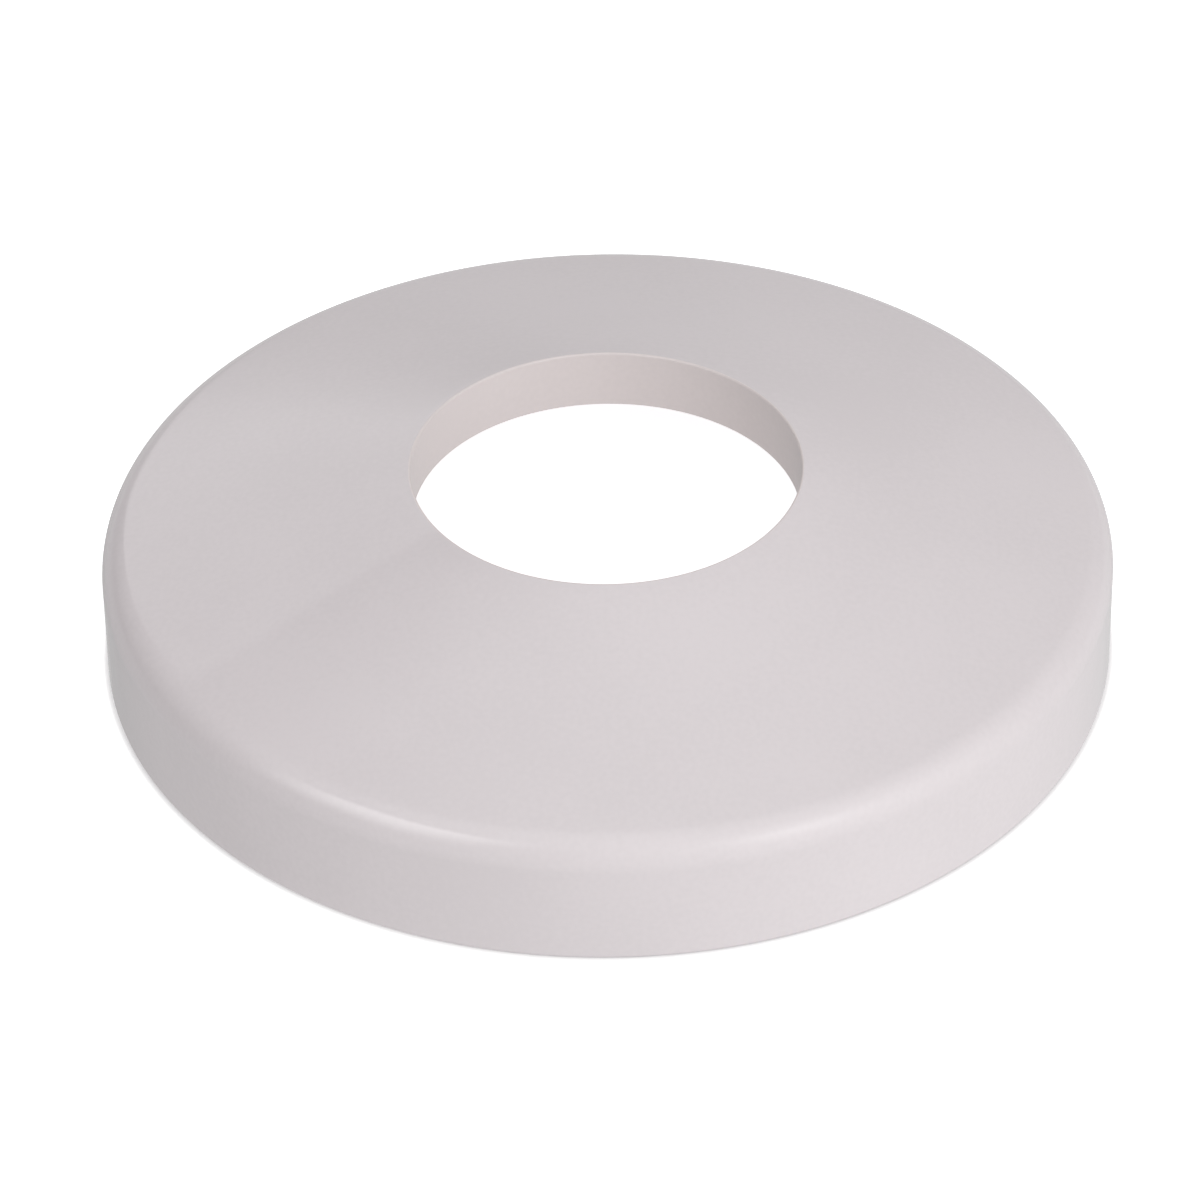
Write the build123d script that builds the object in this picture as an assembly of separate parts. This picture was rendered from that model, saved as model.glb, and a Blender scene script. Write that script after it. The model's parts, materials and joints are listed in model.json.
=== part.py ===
from build123d import *
from math import atan2, cos, pi, radians, sin, tan
import os

# Pipe escutcheon: a cover ring, moulded in one piece, that hides the hole in a wall or deck round a pipe.
# Sizes are in millimetres and degrees. The origin is the middle of the rim's face, where the ring meets
# the wall, and +Z runs along the pipe, away from the wall.

# Outer form
outer_diameter = 127.0  # across the rim, its widest place
skirt_height = 15.9  # from the wall to where the skirt's and the crown's faces would cross
crown_height = 25.55  # from the wall to where the crown's and the bore's faces would cross
shoulder_radius = 4.3  # outside rounding between skirt and crown
lip_radius = 0.25  # rounding between crown and bore

# Pipe hole
pipe_diameter = 48.3  # outside of the pipe that passes through
pipe_clearance = 0.15  # gap left all round the pipe
collar_depth = 8.0  # from the lip's corner down to the collar's end

# Walls
shell_wall = 2.5  # skirt and crown
collar_wall = 2.4  # at the collar's end, its thinnest place

# Release from the mould
skirt_draft = 0.5  # lean of the skirt, inside and outside
collar_draft = 1.0  # taper of the collar's outside, narrower at its end

# Bevels: the rim is left sharp, as the mould's parting line leaves it
lead_in_bevel = 0.4  # both edges of the collar's end, so that the ring slides on to the pipe
collar_root_bevel = 1.2  # inside the hollow, between collar and crown
least_shoulder_bevel = 0.3  # inside the hollow, between crown and skirt

# Radii, heights and slopes that follow from the sizes above
outer_radius = outer_diameter / 2
bore_radius = pipe_diameter / 2 + pipe_clearance
collar_end_height = crown_height - collar_depth
skirt_lean = tan(radians(skirt_draft))
collar_lean = tan(radians(collar_draft))

# Corners of the outer face, as (radius, height)
rim_outside = (outer_radius, 0)
shoulder_corner = (outer_radius - skirt_height * skirt_lean, skirt_height)
lip_corner = (bore_radius, crown_height)
collar_inside = (bore_radius, collar_end_height)

# The crown's underside lies one wall below its outer face and parallel to it
crown_slope = atan2(crown_height - skirt_height, shoulder_corner[0] - bore_radius)
underside_height = crown_height - shell_wall / cos(crown_slope)
crown_underside = Axis((bore_radius, underside_height, 0), (cos(crown_slope), -sin(crown_slope), 0))

# Corners of the hollow's face, where the crown's underside crosses the walls on either side of it
collar_outside = (bore_radius + collar_wall, collar_end_height)
collar_face = Axis((*collar_outside, 0), (collar_lean, 1, 0))
collar_root = collar_face.intersect(crown_underside)
rim_inside = (outer_radius - shell_wall, 0)
skirt_face = Axis((*rim_inside, 0), (-skirt_lean, 1, 0))
inner_shoulder = skirt_face.intersect(crown_underside)

# The bevel behind the shoulder fills as much of its corner as keeps the wall's full thickness there
half_corner = (pi / 2 + crown_slope + radians(skirt_draft)) / 2
corner_fill = (shoulder_radius - shell_wall) * (1 / sin(half_corner) - 1)
shoulder_bevel = max(corner_fill / cos(half_corner), least_shoulder_bevel)


def vertex_at(face, point):
    """The face's vertex nearest to a point."""
    return face.vertices().sort_by_distance(point)[0]


# The wall's section, once round, with its corners rounded or bevelled
wall_section = make_face(
    Polyline(
        rim_outside,
        shoulder_corner,
        lip_corner,
        collar_inside,
        collar_outside,
        collar_root,
        inner_shoulder,
        rim_inside,
        close=True,
    )
)
for corner, radius in [(shoulder_corner, shoulder_radius), (lip_corner, lip_radius)]:
    wall_section = fillet(vertex_at(wall_section, corner), radius)
for corner, bevel in [
    (collar_inside, lead_in_bevel),
    (collar_outside, lead_in_bevel),
    (collar_root, collar_root_bevel),
    (inner_shoulder, shoulder_bevel),
]:
    wall_section = chamfer(vertex_at(wall_section, corner), bevel)

# One turn of the section about the pipe's axis is the whole moulding
escutcheon = revolve(Plane.XZ * wall_section, Axis.Z)

os.makedirs("parts", exist_ok=True)
export_step(escutcheon, "parts/escutcheon.step")
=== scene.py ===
"""Dresses a pipe escutcheon, a cover ring moulded in one piece, and stands it in a plain white studio.

Lengths are in metres. +Z runs along the pipe, and the ring stands on the floor at z = 0.
"""

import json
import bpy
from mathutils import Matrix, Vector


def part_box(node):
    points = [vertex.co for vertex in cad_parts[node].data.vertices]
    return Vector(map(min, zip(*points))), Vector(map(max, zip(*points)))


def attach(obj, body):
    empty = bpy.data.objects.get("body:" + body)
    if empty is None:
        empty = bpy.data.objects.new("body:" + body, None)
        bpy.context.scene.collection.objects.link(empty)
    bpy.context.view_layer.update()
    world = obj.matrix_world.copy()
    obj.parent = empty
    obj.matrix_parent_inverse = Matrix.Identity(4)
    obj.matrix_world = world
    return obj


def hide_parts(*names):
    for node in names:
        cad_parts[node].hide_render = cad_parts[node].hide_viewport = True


bl_info = {
    "name": "Pipe Escutcheon",
    "version": (1, 0, 0),
    "blender": (4, 5, 0),
    "location": "3D View > Sidebar > Escutcheon",
    "description": "Builds a moulded plastic pipe escutcheon and a white studio around it",
    "category": "Add Mesh",
}

from math import atan2, cos, pi, radians, sin, tan

import bpy
import numpy as np
from mathutils import Matrix, Vector

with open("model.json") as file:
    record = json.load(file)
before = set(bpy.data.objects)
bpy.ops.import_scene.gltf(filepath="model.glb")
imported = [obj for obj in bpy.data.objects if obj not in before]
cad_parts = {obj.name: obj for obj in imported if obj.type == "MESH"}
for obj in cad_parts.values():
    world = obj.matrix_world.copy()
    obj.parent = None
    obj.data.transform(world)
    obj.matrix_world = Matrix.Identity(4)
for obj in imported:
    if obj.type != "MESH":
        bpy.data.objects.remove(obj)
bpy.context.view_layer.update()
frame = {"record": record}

# The solid that the ring stands for
RING_NODE = "escutcheon"
ring_low, ring_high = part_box(RING_NODE)
pipe_bore = next(mount for mount in frame["record"]["mounts"] if mount["name"] == "pipe_bore")

MILLIMETRE = 0.001
WHITE = (1.0, 1.0, 1.0, 1.0)

# The ring's mesh. Corners of its section are counted from the rim's outer edge, up over the crown
ARC_STEPS = 24  # in each rounding of the section
SIDE_STEPS = 9  # in each straight side of the section
TURN_STEPS = 288  # round the pipe's axis
SLOPE_ROUNDS = 8  # repeats in which the crown's slope and the lip's height settle
BORE_CORNERS = [2, 3]  # the lip and the bore's lower end
HOLLOW_CORNERS = [4, 5, 6]  # from the collar's end, under the crown, to the inside of the skirt
BORE_FINISH = 1  # numbers of the ring's materials; the outer face's is nought
HOLLOW_FINISH = 2

# Plastic
PLASTIC_IOR = 1.53
NOISE_SPAN = (0.3, 0.7)  # between which nearly all of a noise lies
NOISE_MIDDLE = 0.5
CLOUD_DETAIL = 2.0  # finer layers in the cloudy noises
SKIN_DISTANCE = 1.0  # the skin's heights are in metres already

# Floor
FLOOR_PAINT = (0.9, 0.9, 0.9, 1.0)
# The painted contact shade: the floor's white lift dims near the rim
CONTACT_SAMPLES = 4
CONTACT_POWER = 3.0  # how steeply the floor darkens at the rim

# Places in the room that are brighter or darker than the rest, at (azimuth, elevation) in degrees.
# Each adds level * cos(angle from it) ** sharpness to the room's light.
ROOM_LIGHTS = {
    "window at the front right": {"place": (-37.0, 18.0), "level": 1.05, "sharpness": 5.0},
    "middle of the window": {"place": (-50.0, 32.0), "level": 1.35, "sharpness": 40.0},
    "ceiling": {"place": (-162.0, 79.0), "level": 0.63, "sharpness": 4.0},
    "dark wall at the left": {"place": (142.0, 33.0), "level": -1.0, "sharpness": 9.0},
    "dark beam above the panel": {"place": (117.0, 52.0), "level": -0.3, "sharpness": 90.0},
    "dim corner at the left": {"place": (183.0, 10.0), "level": -0.59, "sharpness": 6.0},
    "dim floor at the back right": {"place": (66.0, -35.0), "level": -0.05, "sharpness": 6.0},
    "dim floor at the back left": {"place": (118.0, -36.0), "level": -0.16, "sharpness": 16.0},
    "bright floor at the front right": {"place": (-28.0, -44.0), "level": 0.37, "sharpness": 5.0},
}
HORIZON_BLUR = 0.05  # half height of the change from the room's level to the floor's

# Lamps, one metre off at (azimuth, elevation) in degrees. soft_lamp says how their faces are graded
LAMPS = {
    "left_lamp": {"place": (216.5, 36.0), "size": (1.08, 0.83), "edge": 0.86, "peak": 0.78, "top": 0.1},
    "back_panel": {"place": (106.0, 29.0), "size": (0.53, 0.65), "edge": 0.06, "peak": 0.34, "top": 0.6},
}
HALF_FACE = 0.5  # from the middle of a lamp's face to its side, in widths of the face

# How far to the right of the ring's middle, and above it, the camera aims
CAMERA_OFFSET = (-1.07 * MILLIMETRE, 3.48 * MILLIMETRE)


# Sizes, finish and studio values that a user would change


def length(name, description, millimetres):
    """A length property, given in millimetres and kept in metres."""
    return bpy.props.FloatProperty(
        name=name,
        description=description,
        default=millimetres * MILLIMETRE,
        min=0.0,
        unit="LENGTH",
        precision=5,
    )


def angle(name, description, degrees):
    """An angle property, given in degrees and kept in radians."""
    default = radians(degrees)
    return bpy.props.FloatProperty(name=name, description=description, default=default, subtype="ANGLE")


def share(name, description, value):
    """A plain number between nought and one."""
    return bpy.props.FloatProperty(
        name=name, description=description, default=value, min=0.0, max=1.0, subtype="FACTOR"
    )


def colour(name, description, value):
    """A linear colour."""
    return bpy.props.FloatVectorProperty(
        name=name, description=description, default=value, min=0.0, max=1.0, size=3, subtype="COLOR"
    )


def power(name, description, watts):
    """The power of a lamp."""
    return bpy.props.FloatProperty(name=name, description=description, default=watts, min=0.0, unit="POWER")


class EscutcheonSizes(bpy.types.PropertyGroup):
    """The ring's section. Its outside diameter, height and bore come from the solid that it stands for."""

    skirt_height: length("Skirt Height", "From the wall to where skirt and crown would cross", 15.9)
    shoulder_radius: length("Shoulder Radius", "Outside rounding between skirt and crown", 4.3)
    lip_radius: length("Lip Radius", "Rounding between crown and bore", 0.25)
    collar_depth: length("Collar Depth", "From the lip's corner down to the collar's end", 8.0)
    shell_wall: length("Shell Wall", "Thickness of skirt and crown", 2.5)
    collar_wall: length("Collar Wall", "Thickness of the collar at its end", 2.4)
    skirt_draft: angle("Skirt Draft", "Lean of the skirt, inside and outside", 0.5)
    collar_draft: angle("Collar Draft", "Taper of the collar's outside", 1.0)
    edge_radius: length("Edge Radius", "Rounding of the rim's and the collar's thin edges", 0.2)
    root_radius: length("Root Radius", "Rounding inside the hollow, between collar and crown", 1.5)
    inner_shoulder_radius: length(
        "Inner Shoulder Radius", "Rounding inside the hollow, between crown and skirt", 1.8
    )


class EscutcheonFinish(bpy.types.PropertyGroup):
    """The plastic's colour and gloss."""

    plastic_colour: colour("Plastic Colour", "Off-white of the moulding", (0.72, 0.67, 0.685))
    # Its warmer tint is painted light: the warmth of light through the thin collar, painted into the bore's
    # colour
    bore_colour_with_painted_warmth: colour(
        "Bore Colour", "The bore's face, which light through the thin collar warms", (0.715, 0.65, 0.645)
    )
    mottle: share("Mottle", "How far the resin's shade varies over the moulding", 0.02)
    smudges: share("Smudges", "How far handling dulls the gloss in patches", 0.03)
    face_roughness: share("Face Roughness", "Roughness of the polished outer face", 0.05)
    face_waves: length("Face Waves", "Height of the polished face's long cooling waves", 0.006)
    face_peel: length("Face Peel", "Height of the polished face's orange peel", 0.0012)
    hollow_roughness: share("Hollow Roughness", "Roughness of the plain hollow side", 0.36)
    hollow_waves: length("Hollow Waves", "Height of the hollow side's long cooling waves", 0.008)
    hollow_peel: length("Hollow Peel", "Height of the hollow side's grain", 0.004)


class EscutcheonStudio(bpy.types.PropertyGroup):
    """Floor, room light, lamps and camera."""

    floor_size: length("Floor Size", "Side of the square white floor", 6000.0)
    floor_gap: length("Floor Gap", "Hair of air under the rim", 0.2)
    floor_lift: share("Floor Lift", "White that the eye sees on the floor besides its lit paint", 0.6)
    contact_reach: length("Contact Reach", "How near the ring the floor's lift begins to fade", 0.9)
    camera_elevation: angle("Camera Elevation", "Height of the view above the floor", 37.35)
    camera_roll: angle("Camera Roll", "Turn of the camera about its own axis", -0.88)
    camera_distance: length("Camera Distance", "From the camera to the ring's middle", 658.4)
    camera_lens: bpy.props.FloatProperty(
        name="Camera Lens", description="Focal length", default=155.25, min=1.0, unit="CAMERA"
    )
    sky_level: share("Sky Level", "Brightness of the room above the floor", 0.5)
    bounce_level: share("Bounce Level", "Brightness of the light that comes up from the floor", 0.68)
    left_power: power("Left Lamp", "Soft lamp at the front left", 7.3)
    back_power: power("Back Panel", "Pale panel that shines in the crown's left side", 0.77)


# Surfaces


def rounded_outline(corners, radii, arc_steps, side_steps):
    """Closed outline of a polygon with rounded corners.

    At a corner with radius r and half angle h, the rounding is an arc about the point that lies r / sin(h)
    from the corner along its bisector. It starts and ends r / tan(h) from the corner. The side that follows
    runs straight from the end of one arc to the start of the next, with its points closer together at both
    ends. The result has one row of points for each corner: its arc, then the side after it.
    """
    corner = np.asarray(corners, float)
    radius = np.asarray(radii, float)[:, None]
    back = np.roll(corner, 1, 0) - corner
    ahead = np.roll(corner, -1, 0) - corner
    back /= np.linalg.norm(back, axis=1, keepdims=True)
    ahead /= np.linalg.norm(ahead, axis=1, keepdims=True)
    half = np.arccos(np.sum(back * ahead, 1, keepdims=True)) / 2
    start = corner + back * radius / np.tan(half)
    end = corner + ahead * radius / np.tan(half)
    bisector = (back + ahead) / np.linalg.norm(back + ahead, axis=1, keepdims=True)
    centre = corner + bisector * radius / np.sin(half)
    first = np.arctan2(start[:, 1] - centre[:, 1], start[:, 0] - centre[:, 0])
    last = np.arctan2(end[:, 1] - centre[:, 1], end[:, 0] - centre[:, 0])
    sweep = (last - first + pi) % (2 * pi) - pi
    turn = first[:, None] + sweep[:, None] * np.linspace(0, 1, arc_steps + 1)
    arcs = centre[:, None] + radius[:, None] * np.stack([np.cos(turn), np.sin(turn)], -1)
    along = ((1 - np.cos(np.linspace(0, pi, side_steps + 1))) / 2)[1:-1, None]
    sides = end[:, None] + (np.roll(start, -1, 0) - end)[:, None] * along
    return np.concatenate([arcs, sides], 1)


def turned_grid(outline, turns):
    """Surface that an outline of (radius, height) points makes when it is turned about the Z axis.

    Point (i, j) of the grid is (r cos t, r sin t, z), with (r, z) the outline's point i and t the share
    j / turns of a full turn.
    """
    t = np.arange(turns) * 2 * pi / turns
    r, z = outline[:, None, 0], outline[:, None, 1]
    return np.stack(np.broadcast_arrays(r * np.cos(t), r * np.sin(t), z), -1)


def closed_grid_faces(rows, columns):
    """Quads of a grid that closes both ways, wound so that a turned outline faces outwards."""
    i, j = np.meshgrid(np.arange(rows), np.arange(columns), indexing="ij")
    row = i * columns
    next_row = (i + 1) % rows * columns
    beside = (j + 1) % columns
    quads = np.stack([row + j, row + beside, next_row + beside, next_row + j], -1)
    return quads.reshape(-1, 4)


def mesh_object(name, points, quads):
    """A new object at the origin whose mesh has these points and smooth quads."""
    mesh = bpy.data.meshes.new(name)
    mesh.from_pydata(points.reshape(-1, 3), [], quads)
    mesh.shade_smooth()
    mesh.validate()
    made = bpy.data.objects.new(name, mesh)
    bpy.context.scene.collection.objects.link(made)
    return made


def ring_outline(sizes):
    """Corners and roundings of the wall's section, once round, from the rim's outer edge up over the crown.

    The skirt leans in by its draft. The crown runs straight from the skirt's top corner to the lip's corner,
    which stands above the ring's top by what the lip's rounding takes off. The hollow's faces lie one wall
    inside.
    """
    outer_radius = (ring_high.x - ring_low.x) / 2
    bore_radius = pipe_bore["dims"]["r_mm"] * MILLIMETRE
    skirt_top_radius = outer_radius - sizes.skirt_height * tan(sizes.skirt_draft)
    lip_height = ring_high.z
    for _ in range(SLOPE_ROUNDS):
        slope = atan2(lip_height - sizes.skirt_height, skirt_top_radius - bore_radius)
        lip_height = ring_high.z + sizes.lip_radius * (tan(slope) + 1 / cos(slope) - 1)
    collar_end = lip_height - sizes.collar_depth
    underside = lip_height - sizes.shell_wall / cos(slope)
    collar_radius = bore_radius + sizes.collar_wall
    fall, lean, taper = tan(slope), tan(sizes.skirt_draft), tan(sizes.collar_draft)
    # Where the collar's outside, r = collar_radius + taper * (z - collar_end), meets the crown's underside
    root_height = (underside - fall * (collar_radius - bore_radius - taper * collar_end)) / (1 + fall * taper)
    root_radius = collar_radius + taper * (root_height - collar_end)
    # Where the skirt's inside, r = rim_radius - lean * z, meets the crown's underside
    rim_radius = outer_radius - sizes.shell_wall
    inner_height = (underside - fall * (rim_radius - bore_radius)) / (1 - fall * lean)
    inner_radius = rim_radius - lean * inner_height
    corners = [
        (outer_radius, 0.0),
        (skirt_top_radius, sizes.skirt_height),
        (bore_radius, lip_height),
        (bore_radius, collar_end),
        (collar_radius, collar_end),
        (root_radius, root_height),
        (inner_radius, inner_height),
        (rim_radius, 0.0),
    ]
    roundings = [
        sizes.edge_radius,
        sizes.shoulder_radius,
        sizes.lip_radius,
        sizes.edge_radius,
        sizes.edge_radius,
        sizes.root_radius,
        sizes.inner_shoulder_radius,
        sizes.edge_radius,
    ]
    return corners, roundings


# Materials


def add_node(tree, kind, label, **values):
    """A labelled node of a tree, with its own settings."""
    node = tree.nodes.new(kind)
    node.label = label
    for name, value in values.items():
        setattr(node, name, value)
    return node


def group_tree(name, inputs, outputs):
    """An empty node group with number sockets, as (tree, its given values, its wanted results)."""
    tree = bpy.data.node_groups.new(name, "ShaderNodeTree")
    for socket, value in inputs.items():
        tree.interface.new_socket(socket, in_out="INPUT", socket_type="NodeSocketFloat").default_value = value
    for socket in outputs:
        tree.interface.new_socket(socket, in_out="OUTPUT", socket_type="NodeSocketFloat")
    given = add_node(tree, "NodeGroupInput", "given")
    wanted = add_node(tree, "NodeGroupOutput", "wanted")
    return tree, given.outputs, wanted.inputs


def feed(tree, socket, value):
    """Give an input socket its value: another socket is linked to it, and a plain value is set on it."""
    if isinstance(value, bpy.types.NodeSocket):
        tree.links.new(value, socket)
    else:
        socket.default_value = value


def noise(tree, label, per_metre, detail=0.0):
    """A noise over the piece's own coordinates, between 0 and 1, with so many features in a metre."""
    place = add_node(tree, "ShaderNodeTexCoord", "place")
    made = add_node(tree, "ShaderNodeTexNoise", label)
    made.inputs["Detail"].default_value = detail
    feed(tree, made.inputs["Scale"], per_metre)
    feed(tree, made.inputs["Vector"], place.outputs["Object"])
    return made.outputs["Fac"]


def spread(tree, label, value, low, high, to_low, to_high):
    """A value mapped smoothly from one range to another and held at its ends."""
    made = add_node(tree, "ShaderNodeMapRange", label, interpolation_type="SMOOTHSTEP")
    ends = {"Value": value, "From Min": low, "From Max": high, "To Min": to_low, "To Max": to_high}
    for name, end in ends.items():
        feed(tree, made.inputs[name], end)
    return made.outputs["Result"]


def combine(tree, label, operation, *values):
    """One sum on one or two values."""
    made = add_node(tree, "ShaderNodeMath", label, operation=operation)
    for socket, value in zip(made.inputs, values):
        feed(tree, socket, value)
    return made.outputs["Value"]


def resin_mottle_group():
    """The resin's slight unevenness, as a shade about 1: broad clouds where the melt ran, and fine specks."""
    sizes = {"Amount": 0.02, "Clouds per Metre": 38.0, "Specks per Metre": 1500.0, "Speck Share": 0.3}
    tree, given, wanted = group_tree("Resin Mottle", sizes, ["Shade"])
    clouds = noise(tree, "melt clouds", given["Clouds per Metre"], CLOUD_DETAIL)
    specks = noise(tree, "pigment specks", given["Specks per Metre"])
    cloud_share = combine(tree, "cloud share", "SUBTRACT", 1.0, given["Speck Share"])
    cloudy = combine(tree, "cloudy", "MULTIPLY", clouds, cloud_share)
    specked = combine(tree, "specked", "MULTIPLY", specks, given["Speck Share"])
    mottled = combine(tree, "mottled", "ADD", cloudy, specked)
    dark = combine(tree, "darkest", "SUBTRACT", 1.0, given["Amount"])
    light = combine(tree, "lightest", "ADD", 1.0, given["Amount"])
    shade = spread(tree, "shade", mottled, *NOISE_SPAN, dark, light)
    tree.links.new(shade, wanted["Shade"])
    return tree


def handling_group():
    """Handling, as a roughness: soft patches where fingers dulled the gloss, and hair scuffs within them.

    A scuff is a thin band about the middle level of a noise, so that it runs as a wandering line.
    """
    sizes = {
        "Roughness": 0.05,
        "Smudges": 0.03,
        "Patches per Metre": 70.0,
        "Scuffs per Metre": 120.0,
        "Scuff Width": 0.006,
    }
    tree, given, wanted = group_tree("Handling", sizes, ["Roughness"])
    patches = noise(tree, "finger patches", given["Patches per Metre"], CLOUD_DETAIL)
    touched = spread(tree, "touched", patches, NOISE_MIDDLE, NOISE_SPAN[1], 0.0, 1.0)
    wander = noise(tree, "scuffs", given["Scuffs per Metre"])
    off_middle = combine(tree, "off the middle", "SUBTRACT", wander, NOISE_MIDDLE)
    either_way = combine(tree, "either way", "ABSOLUTE", off_middle)
    scuffs = spread(tree, "thin scuffs", either_way, 0.0, given["Scuff Width"], 1.0, 0.0)
    marks = combine(tree, "patch and scuffs", "ADD", scuffs, 1.0)
    worn = combine(tree, "worn", "MULTIPLY", touched, marks)
    dulling = combine(tree, "dulling", "MULTIPLY", worn, given["Smudges"])
    total = combine(tree, "roughness", "ADD", given["Roughness"], dulling)
    tree.links.new(total, wanted["Roughness"])
    return tree


def moulded_skin_group():
    """A moulding's skin, as heights in metres: long shallow waves where the wall cooled, and orange peel."""
    sizes = {"Waves": 0.0, "Peel": 0.0, "Waves per Metre": 45.0, "Peel per Metre": 900.0}
    tree, given, wanted = group_tree("Moulded Skin", sizes, ["Height"])
    long_waves = noise(tree, "long waves", given["Waves per Metre"])
    orange_peel = noise(tree, "orange peel", given["Peel per Metre"])
    waves = combine(tree, "waves", "MULTIPLY", long_waves, given["Waves"])
    peel = combine(tree, "peel", "MULTIPLY", orange_peel, given["Peel"])
    height = combine(tree, "height", "ADD", waves, peel)
    tree.links.new(height, wanted["Height"])
    return tree


def plastic_material(name, finish, shade, roughness, waves, peel, groups):
    """Moulded plastic of one shade. Waves and peel are the heights of its skin's unevenness."""
    material = bpy.data.materials.new(name)
    material.use_nodes = True
    tree = material.node_tree
    link = tree.links.new
    shader = tree.nodes["Principled BSDF"]
    shader.inputs["IOR"].default_value = PLASTIC_IOR
    placed = {}
    for label, group in groups.items():
        placed[label] = add_node(tree, "ShaderNodeGroup", label, node_tree=group)
    placed["mottle"].inputs["Amount"].default_value = finish.mottle
    shaded = add_node(tree, "ShaderNodeVectorMath", "shaded colour", operation="SCALE")
    shaded.inputs["Vector"].default_value = shade
    link(placed["mottle"].outputs["Shade"], shaded.inputs["Scale"])
    link(shaded.outputs["Vector"], shader.inputs["Base Color"])
    placed["handling"].inputs["Roughness"].default_value = roughness
    placed["handling"].inputs["Smudges"].default_value = finish.smudges
    link(placed["handling"].outputs["Roughness"], shader.inputs["Roughness"])
    placed["skin"].inputs["Waves"].default_value = waves
    placed["skin"].inputs["Peel"].default_value = peel
    bump = add_node(tree, "ShaderNodeBump", "skin")
    bump.inputs["Distance"].default_value = SKIN_DISTANCE
    link(placed["skin"].outputs["Height"], bump.inputs["Height"])
    link(bump.outputs["Normal"], shader.inputs["Normal"])
    return material


def floor_material(studio):
    """White floor: its paint takes the ring's shadow, and a lift makes it white to the eye.

    The lift fades where the ring stands close by, a painted contact shade which leaves a dark line under the
    rim. From below, the floor is clear.
    """
    material = bpy.data.materials.new("White Floor")
    material.use_nodes = True
    tree = material.node_tree
    tree.nodes.remove(tree.nodes["Principled BSDF"])
    paint = add_node(tree, "ShaderNodeBsdfDiffuse", "paint")
    paint.inputs["Color"].default_value = FLOOR_PAINT
    path = add_node(tree, "ShaderNodeLightPath", "ray kind").outputs
    seen = combine(tree, "seen", "MAXIMUM", path["Is Camera Ray"], path["Is Transmission Ray"])
    # Painted contact shade: the white lift is dimmed where the ring stands close over the floor
    near = add_node(tree, "ShaderNodeAmbientOcclusion", "open above")
    near.samples = CONTACT_SAMPLES
    near.inputs["Distance"].default_value = studio.contact_reach
    open_share = combine(tree, "deeper close by", "POWER", near.outputs["AO"], CONTACT_POWER)
    shown = combine(tree, "seen and open", "MULTIPLY", seen, open_share)
    glow = add_node(tree, "ShaderNodeEmission", "white lift")
    feed(tree, glow.inputs["Strength"], combine(tree, "lift", "MULTIPLY", shown, studio.floor_lift))
    both = add_node(tree, "ShaderNodeAddShader", "lifted paint")
    clear = add_node(tree, "ShaderNodeBsdfTransparent", "clear")
    side = add_node(tree, "ShaderNodeNewGeometry", "side")
    choose = add_node(tree, "ShaderNodeMixShader", "clear from below")
    link = tree.links.new
    link(paint.outputs["BSDF"], both.inputs[0])
    link(glow.outputs["Emission"], both.inputs[1])
    link(side.outputs["Backfacing"], choose.inputs["Fac"])
    link(both.outputs["Shader"], choose.inputs[1])
    link(clear.outputs["BSDF"], choose.inputs[2])
    link(choose.outputs["Shader"], tree.nodes["Material Output"].inputs["Surface"])
    return material


# Studio


def direction(azimuth, elevation):
    """Unit vector at an azimuth, turned from +X to +Y, and an elevation, both in degrees."""
    a, e = radians(azimuth), radians(elevation)
    return Vector((cos(e) * cos(a), cos(e) * sin(a), sin(e)))


def studio_world(studio):
    """A pale room, which the camera sees as plain white.

    It has one level above the horizon and one below, and its bright and dark places are added to them.
    """
    world = bpy.data.worlds.new("White Studio")
    world.use_nodes = True
    tree = world.node_tree
    link = tree.links.new
    background = tree.nodes["Background"]
    background.inputs["Color"].default_value = WHITE
    towards = add_node(tree, "ShaderNodeTexCoord", "direction").outputs["Generated"]
    split = add_node(tree, "ShaderNodeSeparateXYZ", "height")
    link(towards, split.inputs["Vector"])
    height = split.outputs["Z"]
    ends = (-HORIZON_BLUR, HORIZON_BLUR, studio.bounce_level, studio.sky_level)
    level = spread(tree, "level by height", height, *ends)
    for label, light in ROOM_LIGHTS.items():
        facing = add_node(tree, "ShaderNodeVectorMath", label, operation="DOT_PRODUCT")
        facing.inputs[1].default_value = direction(*light["place"])
        link(towards, facing.inputs[0])
        ahead = combine(tree, "in front of it", "MAXIMUM", facing.outputs["Value"], 0.0)
        lobe = combine(tree, "lobe", "POWER", ahead, light["sharpness"])
        added = combine(tree, "its level", "MULTIPLY", lobe, light["level"])
        level = combine(tree, "with it", "ADD", level, added)
    level = combine(tree, "never below nothing", "MAXIMUM", level, 0.0)
    path = add_node(tree, "ShaderNodeLightPath", "ray kind").outputs
    seen = combine(tree, "seen", "MAXIMUM", path["Is Camera Ray"], path["Is Transmission Ray"])
    choose = add_node(tree, "ShaderNodeMix", "white to the camera")
    choose.inputs["B"].default_value = 1.0
    link(seen, choose.inputs["Factor"])
    link(level, choose.inputs["A"])
    link(choose.outputs["Result"], background.inputs["Strength"])
    return world


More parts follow.
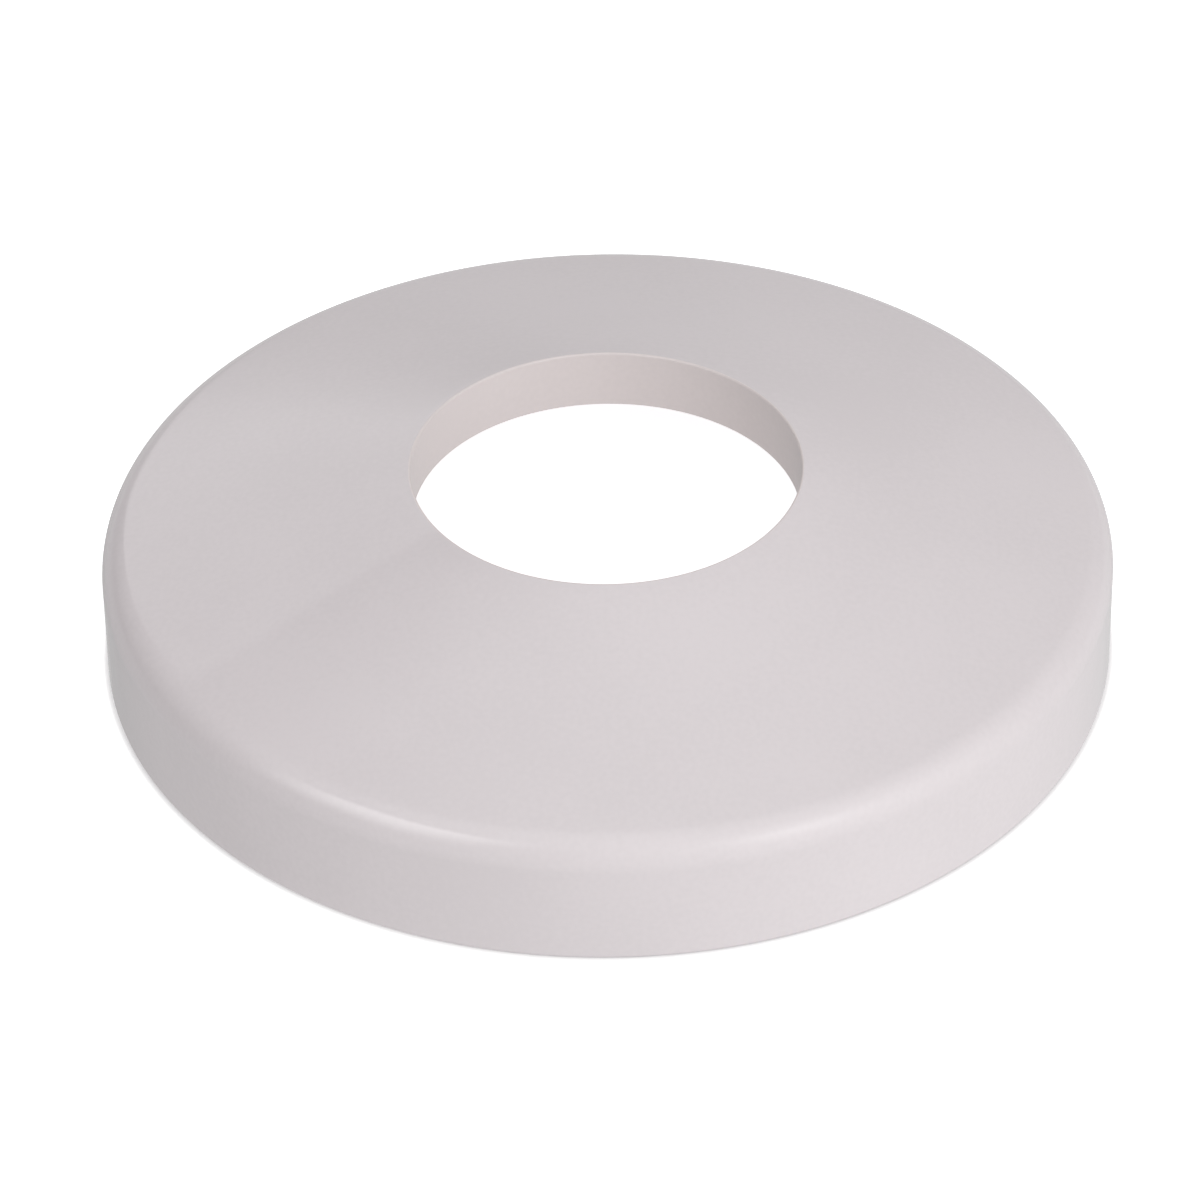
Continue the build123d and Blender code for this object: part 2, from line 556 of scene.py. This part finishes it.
def soft_lamp(name, watts, place, size, edge, peak, top):
    """A lamp one metre off, at an azimuth and elevation, that faces the ring's middle.

    Across, its face is full in the middle and fades to nothing over a share, edge, of its half width.
    Upwards, it rises from nothing to full at the share, peak, of its height, and falls from there to the
    level, top.
    """
    data = bpy.data.lights.new(name, "AREA")
    data.shape = "RECTANGLE"
    data.size, data.size_y = size
    data.energy = watts
    data.use_nodes = True
    tree = data.node_tree
    face = add_node(tree, "ShaderNodeNewGeometry", "face")
    split = add_node(tree, "ShaderNodeSeparateXYZ", "across and up")
    tree.links.new(face.outputs["Parametric"], split.inputs["Vector"])
    across = combine(tree, "from the middle", "SUBTRACT", split.outputs["X"], HALF_FACE)
    across = combine(tree, "to either side", "ABSOLUTE", across)
    sides = spread(tree, "faded sides", across, HALF_FACE * (1 - edge), HALF_FACE, 1.0, 0.0)
    rise = spread(tree, "rise", split.outputs["Y"], 0.0, peak, 0.0, 1.0)
    fall = spread(tree, "fall", split.outputs["Y"], peak, 1.0, 1.0, top)
    graded = combine(tree, "graded upwards", "MULTIPLY", rise, fall)
    level = combine(tree, "level", "MULTIPLY", sides, graded)
    tree.links.new(level, tree.nodes["Emission"].inputs["Strength"])
    lamp = bpy.data.objects.new(name, data)
    towards = direction(*place)
    lamp.location = towards
    lamp.rotation_euler = towards.to_track_quat("Z", "Y").to_euler()
    lamp.visible_camera = False
    bpy.context.scene.collection.objects.link(lamp)
    return lamp


def studio_camera(studio):
    """The camera, which looks towards +Y and down at the ring from its elevation."""
    data = bpy.data.cameras.new("Camera")
    data.lens = studio.camera_lens
    camera = bpy.data.objects.new("Camera", data)
    tilt = Matrix.Rotation(pi / 2 - studio.camera_elevation, 4, "X")
    roll = Matrix.Rotation(studio.camera_roll, 4, "Z")
    turn = tilt @ roll
    stand = turn @ Vector((*CAMERA_OFFSET, studio.camera_distance))
    camera.matrix_world = Matrix.Translation(stand) @ turn
    bpy.context.scene.collection.objects.link(camera)
    bpy.context.scene.camera = camera
    return camera


# Operators


class EscutcheonMoulding(bpy.types.Operator):
    """Build the ring: one moulded wall, turned about the pipe's axis"""

    bl_idname = "escutcheon.moulding"
    bl_label = "Moulded Ring"

    def execute(self, context):
        corners, roundings = ring_outline(context.scene.escutcheon_sizes)
        outline = rounded_outline(corners, roundings, ARC_STEPS, SIDE_STEPS)
        finishes = np.zeros(outline.shape[:2], np.int32)
        finishes[BORE_CORNERS] = BORE_FINISH
        finishes[HOLLOW_CORNERS] = HOLLOW_FINISH
        grid = turned_grid(outline.reshape(-1, 2), TURN_STEPS)
        ring = mesh_object("moulded_ring", grid, closed_grid_faces(*grid.shape[:2]))
        finish = context.scene.escutcheon_finish
        groups = {"mottle": resin_mottle_group(), "handling": handling_group(), "skin": moulded_skin_group()}
        polished = (finish.face_roughness, finish.face_waves, finish.face_peel)
        plain = (finish.hollow_roughness, finish.hollow_waves, finish.hollow_peel)
        looks = {
            "Polished Face": (finish.plastic_colour, *polished),
            # The bore's shade holds painted warm light, for light through the thin collar
            "Plain Bore": (finish.bore_colour_with_painted_warmth, *plain),
            "Plain Hollow": (finish.plastic_colour, *plain),
        }
        for name, look in looks.items():
            ring.data.materials.append(plastic_material(name, finish, *look, groups))
        ring.data.polygons.foreach_set("material_index", np.repeat(finishes, TURN_STEPS))
        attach(ring, "root")
        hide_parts(RING_NODE)
        return {"FINISHED"}


class EscutcheonStudioSetup(bpy.types.Operator):
    """Build the white floor, the room's light, the lamps and the camera"""

    bl_idname = "escutcheon.studio"
    bl_label = "White Studio"

    def execute(self, context):
        studio = context.scene.escutcheon_studio
        half = studio.floor_size / 2
        corners = [(-half, -half), (half, -half), (half, half), (-half, half)]
        points = np.array([(x, y, -studio.floor_gap) for x, y in corners])
        floor = mesh_object("floor", points, np.array([[0, 1, 2, 3]]))
        floor.data.materials.append(floor_material(studio))
        # The room's lower half shines through the floor and lights the ring in its place
        floor.visible_diffuse = False
        floor.visible_glossy = False
        floor.visible_shadow = False
        context.scene.world = studio_world(studio)
        soft_lamp("left_lamp", studio.left_power, **LAMPS["left_lamp"])
        soft_lamp("back_panel", studio.back_power, **LAMPS["back_panel"])
        studio_camera(studio)
        context.scene.view_settings.view_transform = "Standard"
        return {"FINISHED"}


# Panel and registration

PANEL_ROWS = {
    "escutcheon.moulding": ["escutcheon_sizes", "escutcheon_finish"],
    "escutcheon.studio": ["escutcheon_studio"],
}


class EscutcheonPanel(bpy.types.Panel):
    """Sidebar panel with the builder's steps and values"""

    bl_idname = "VIEW3D_PT_escutcheon"
    bl_label = "Pipe Escutcheon"
    bl_space_type = "VIEW_3D"
    bl_region_type = "UI"
    bl_category = "Escutcheon"

    def draw(self, context):
        for operator, groups in PANEL_ROWS.items():
            self.layout.operator(operator)
            for group in groups:
                values = getattr(context.scene, group)
                for name in values.__annotations__:
                    self.layout.prop(values, name)


CLASSES = [
    EscutcheonSizes,
    EscutcheonFinish,
    EscutcheonStudio,
    EscutcheonMoulding,
    EscutcheonStudioSetup,
    EscutcheonPanel,
]


def register():
    for kind in CLASSES:
        bpy.utils.register_class(kind)
    bpy.types.Scene.escutcheon_sizes = bpy.props.PointerProperty(type=EscutcheonSizes)
    bpy.types.Scene.escutcheon_finish = bpy.props.PointerProperty(type=EscutcheonFinish)
    bpy.types.Scene.escutcheon_studio = bpy.props.PointerProperty(type=EscutcheonStudio)


def unregister():
    del bpy.types.Scene.escutcheon_studio
    del bpy.types.Scene.escutcheon_finish
    del bpy.types.Scene.escutcheon_sizes
    for kind in reversed(CLASSES):
        bpy.utils.unregister_class(kind)


def main():
    register()
    bpy.ops.escutcheon.moulding()
    bpy.ops.escutcheon.studio()


if __name__ == "__main__":
    main()
